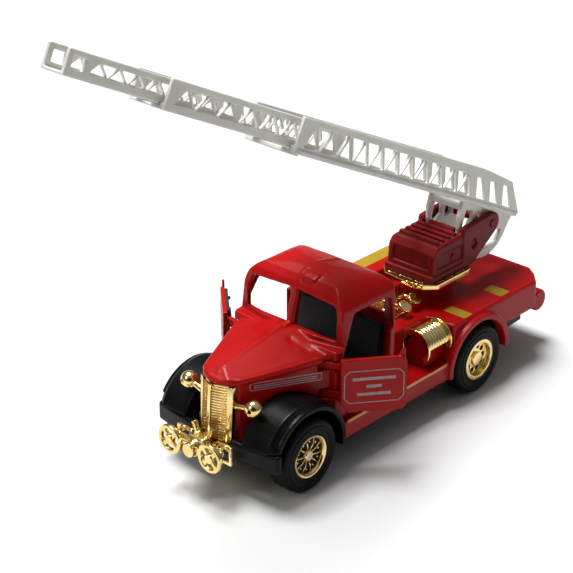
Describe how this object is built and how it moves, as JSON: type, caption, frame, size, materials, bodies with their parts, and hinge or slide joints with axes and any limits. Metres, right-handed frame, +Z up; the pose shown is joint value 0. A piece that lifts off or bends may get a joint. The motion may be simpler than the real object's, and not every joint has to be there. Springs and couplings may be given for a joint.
{
  "type": "toy fire engine",
  "caption": "Red toy fire engine with opening cab doors, a turning turret and a raised telescopic ladder; plated grille, lamps, pump and hose reel.",
  "frame": {"origin": "Middle of the bounding box, on the floor the tyres stand on.", "axes": "+X towards the front bumper, +Y to the left side of the vehicle, +Z up."},
  "size_m": [0.1682, 0.0639, 0.1281],
  "materials": {
    "red_paint": "gloss enamel",
    "red_plastic": "semi-gloss",
    "black_plastic": "satin",
    "interior_black": "matte",
    "gold_plate": "vacuum-plated, bright",
    "white_plastic": "slightly translucent",
    "tyre_rubber": "satin",
    "steel": "bright",
    "gear_plastic": "natural"
  },
  "bodies": {
    "truck": {"chassis_base": "black_plastic", "chassis_screws": "steel", "front_bumper": "black_plastic", "front_fender_left": "black_plastic", "front_fender_right": "black_plastic", "cab_body": "red_paint", "cab_interior": "interior_black", "steering_wheel": "interior_black", "door_pins": "steel", "rear_body": "red_paint", "tail_roller": "red_paint", "side_locker": "red_paint", "reel_stand": "red_paint", "hose_reel": "gold_plate", "deck_valves": "gold_plate", "grille": "gold_plate", "headlamp_left": "gold_plate", "headlamp_right": "gold_plate", "front_plate": "gold_plate", "front_pump": "gold_plate", "pump_handwheel_left": "gold_plate", "pump_handwheel_right": "gold_plate", "turret_rivet": "steel", "motor_case_top": "gear_plastic", "motor_case_bottom": "gear_plastic"},
    "door_left": {"door_left": "red_paint", "door_liner_left": "interior_black"},
    "door_right": {"door_right": "red_paint", "door_liner_right": "interior_black"},
    "turret": {"turntable_plate": "gold_plate", "turret_body": "red_plastic", "pivot_pin": "steel"},
    "ladder_base": {"ladder_cradle": "white_plastic", "ladder_main": "white_plastic"},
    "ladder_middle": {"ladder_mid": "white_plastic"},
    "ladder_top": {"ladder_tip": "white_plastic"},
    "front_wheels": {"front_axle": "steel", "front_rim_left": "gold_plate", "front_rim_right": "gold_plate", "front_tyre_left": "tyre_rubber", "front_tyre_right": "tyre_rubber"},
    "rear_wheels": {"rear_axle": "steel", "rear_rim_left": "gold_plate", "rear_rim_right": "gold_plate", "rear_tyre_left": "tyre_rubber", "rear_tyre_right": "tyre_rubber", "axle_gear": "gear_plastic"},
    "spring_drum": {"spring_gear": "gear_plastic", "spring_arbor": "steel", "mainspring": "steel"}
  },
  "joints": [
    {"name": "door_left_hinge", "type": "hinge", "parent": "truck", "child": "door_left", "pos_m": [0.01369, 0.0135, 0.025], "axis": [0, 0, -1], "range_deg": [-38.4, 11.6]},
    {"name": "door_right_hinge", "type": "hinge", "parent": "truck", "child": "door_right", "pos_m": [0.01369, -0.0135, 0.025], "axis": [0, 0, 1], "range_deg": [-47.2, 2.8]},
    {"name": "turret_turn", "type": "hinge", "parent": "truck", "child": "turret", "pos_m": [-0.04681, 0, 0.031], "axis": [0, 0, 1], "continuous": true},
    {"name": "ladder_raise", "type": "hinge", "parent": "turret", "child": "ladder_base", "pos_m": [-0.06551, 0, 0.0409], "axis": [0, -1, 0], "range_deg": [-19.7, 33.3]},
    {"name": "ladder_middle_slide", "type": "slide", "parent": "ladder_base", "child": "ladder_middle", "axis": [0.8934, 0, 0.4493], "range_m": [-0.044, 0]},
    {"name": "ladder_top_slide", "type": "slide", "parent": "ladder_middle", "child": "ladder_top", "axis": [0.8934, 0, 0.4493], "range_m": [-0.0285, 0]},
    {"name": "front_axle_spin", "type": "hinge", "parent": "truck", "child": "front_wheels", "pos_m": [0.02519, 0, 0.01], "axis": [0, 1, 0], "continuous": true},
    {"name": "rear_axle_spin", "type": "hinge", "parent": "truck", "child": "rear_wheels", "pos_m": [-0.04481, 0, 0.01], "axis": [0, 1, 0], "continuous": true},
    {"name": "spring_drum_spin", "type": "hinge", "parent": "truck", "child": "spring_drum", "pos_m": [-0.03637, 0, 0.01171], "axis": [0, 1, 0], "continuous": true}
  ],
  "couplings": [
    {"joint": "spring_drum_spin", "follows": "rear_axle_spin", "ratio": -0.41667}
  ]
}
